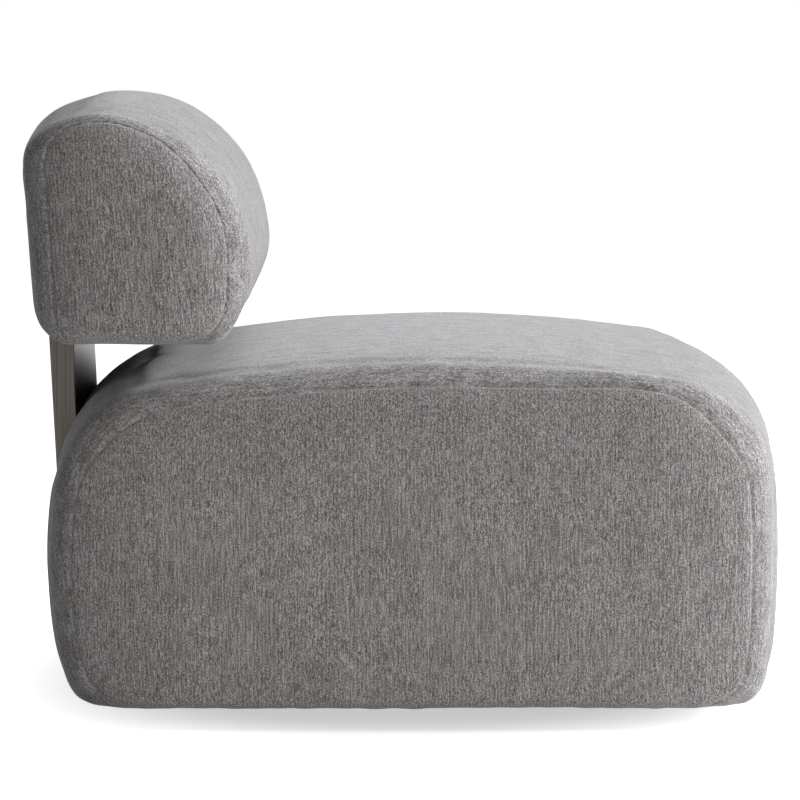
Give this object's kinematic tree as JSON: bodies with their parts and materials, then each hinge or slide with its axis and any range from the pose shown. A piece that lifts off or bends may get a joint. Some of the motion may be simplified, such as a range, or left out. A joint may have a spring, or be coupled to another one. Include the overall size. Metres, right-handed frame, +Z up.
{
  "type": "swivel lounge chair",
  "caption": "Armless lounge chair: a thick upholstered seat block turns on a hidden ball-bearing plinth and carries a floating back cushion on a brushed metal post.",
  "frame": {"origin": "on the floor, on the swivel axis, under the middle of the bounding box", "axes": "+X is the way the seat faces, +Y the sitter's left, +Z up"},
  "size_m": [0.8618, 0.78, 0.6925],
  "materials": {
    "upholstery": "heathered grey chenille",
    "foam": "cut foam",
    "plywood": "raw birch plywood",
    "hardwood": "planed beech",
    "webbing": "woven elastic strap",
    "deck_felt": "pressed felt",
    "dust_cloth": "black non-woven cloth",
    "brushed_sleeve": "vertical brushed, dark satin",
    "bar_steel": "black powder coat",
    "zinc_steel": "zinc plated",
    "fastener_steel": "zinc plated",
    "ball_steel": "polished",
    "cage_nylon": "natural nylon",
    "spacer_plastic": "black moulded",
    "glide_plastic": "black moulded",
    "plinth_black": "black lacquered",
    "bush_bronze": "turned bronze"
  },
  "bodies": {
    "base": {"floor_glides": "glide_plastic", "plinth": "plinth_black", "lower_bearing_plate": "zinc_steel", "lower_plate_screws": "fastener_steel", "pivot_bolt": "fastener_steel", "pivot_washer": "fastener_steel", "pivot_nut": "fastener_steel"},
    "ball_ring": {"ball_cage": "cage_nylon", "bearing_balls": "ball_steel"},
    "seat": {"back_foam": "foam", "back_rail": "plywood", "backrest_base_board": "plywood", "backrest_board": "plywood", "backrest_cover_band": "upholstery", "backrest_end_cover_left": "upholstery", "backrest_end_cover_right": "upholstery", "backrest_foam": "foam", "backrest_post_bolts": "fastener_steel", "backrest_rear_pad": "foam", "backrest_ribs": "plywood", "backrest_tee_nuts": "fastener_steel", "corner_blocks": "hardwood", "deck_pad": "deck_felt", "dust_cover": "dust_cloth", "front_foam": "foam", "front_rail": "plywood", "hem_batten_back": "hardwood", "hem_batten_front": "hardwood", "pivot_bush": "bush_bronze", "post_bar_left": "bar_steel", "post_bar_right": "bar_steel", "post_mount_blocks": "hardwood", "post_sleeve": "brushed_sleeve", "seat_base_panel": "plywood", "seat_cover_band": "upholstery", "seat_foam": "foam", "seat_post_bolts": "fastener_steel", "seat_post_nuts": "fastener_steel", "seat_side_cover_left": "upholstery", "seat_side_cover_right": "upholstery", "side_foam_left": "foam", "side_foam_right": "foam", "side_panel_left": "plywood", "side_panel_right": "plywood", "sleeve_spacers": "spacer_plastic", "upper_bearing_plate": "zinc_steel", "upper_plate_bolts": "fastener_steel", "upper_plate_nuts": "fastener_steel", "webbing_cross_1": "webbing", "webbing_cross_2": "webbing", "webbing_cross_3": "webbing", "webbing_cross_4": "webbing", "webbing_cross_5": "webbing", "webbing_long_1": "webbing", "webbing_long_2": "webbing", "webbing_long_3": "webbing", "webbing_long_4": "webbing", "webbing_long_5": "webbing"}
  },
  "joints": [
    {"name": "seat_swivel", "type": "hinge", "parent": "base", "child": "seat", "pos_m": [0, 0, 0.026], "axis": [0, 0, 1], "continuous": true},
    {"name": "ball_ring_turn", "type": "hinge", "parent": "base", "child": "ball_ring", "pos_m": [0, 0, 0.026], "axis": [0, 0, 1], "continuous": true}
  ],
  "couplings": [
    {"joint": "ball_ring_turn", "follows": "seat_swivel", "ratio": 0.5}
  ]
}
